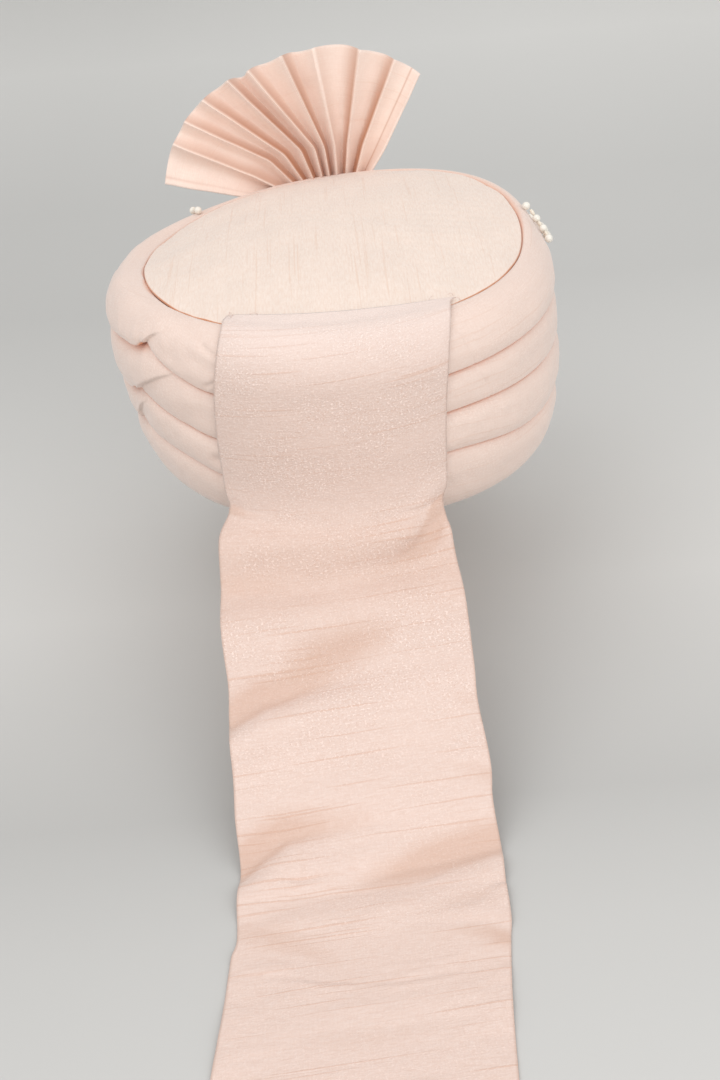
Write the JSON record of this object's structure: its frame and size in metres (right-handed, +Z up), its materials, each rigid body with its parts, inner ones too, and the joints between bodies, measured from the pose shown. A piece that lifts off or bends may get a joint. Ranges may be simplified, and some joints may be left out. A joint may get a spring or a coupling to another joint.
{
  "type": "tied turban",
  "caption": "Ready-tied silk turban: a hollow cap with padded wraps, an upright pleated fan, a pearl string and a long loose tail.",
  "frame": {"origin": "centre of the head opening, on the plane of its rim", "axes": "+X the wearer's right, +Y the way the wearer faces, +Z up; the tail runs towards -Y"},
  "size_m": [0.2562, 0.5686, 0.2842],
  "materials": {
    "crown_silk": "fine slub silk, matt with a faint sheen",
    "wrap_silk": "smooth peach silk over padding",
    "tail_silk": "peach slub silk with a soft sparkle",
    "fan_silk": "crisp starched silk in sharp pleats",
    "pearl": "cream imitation pearl"
  },
  "bodies": {
    "root": {"cap": "crown_silk", "roll_1": "wrap_silk", "roll_2": "wrap_silk", "roll_3": "wrap_silk", "roll_4": "wrap_silk", "tail": "tail_silk", "fan": "fan_silk", "pearls": "pearl"}
  },
  "joints": []
}
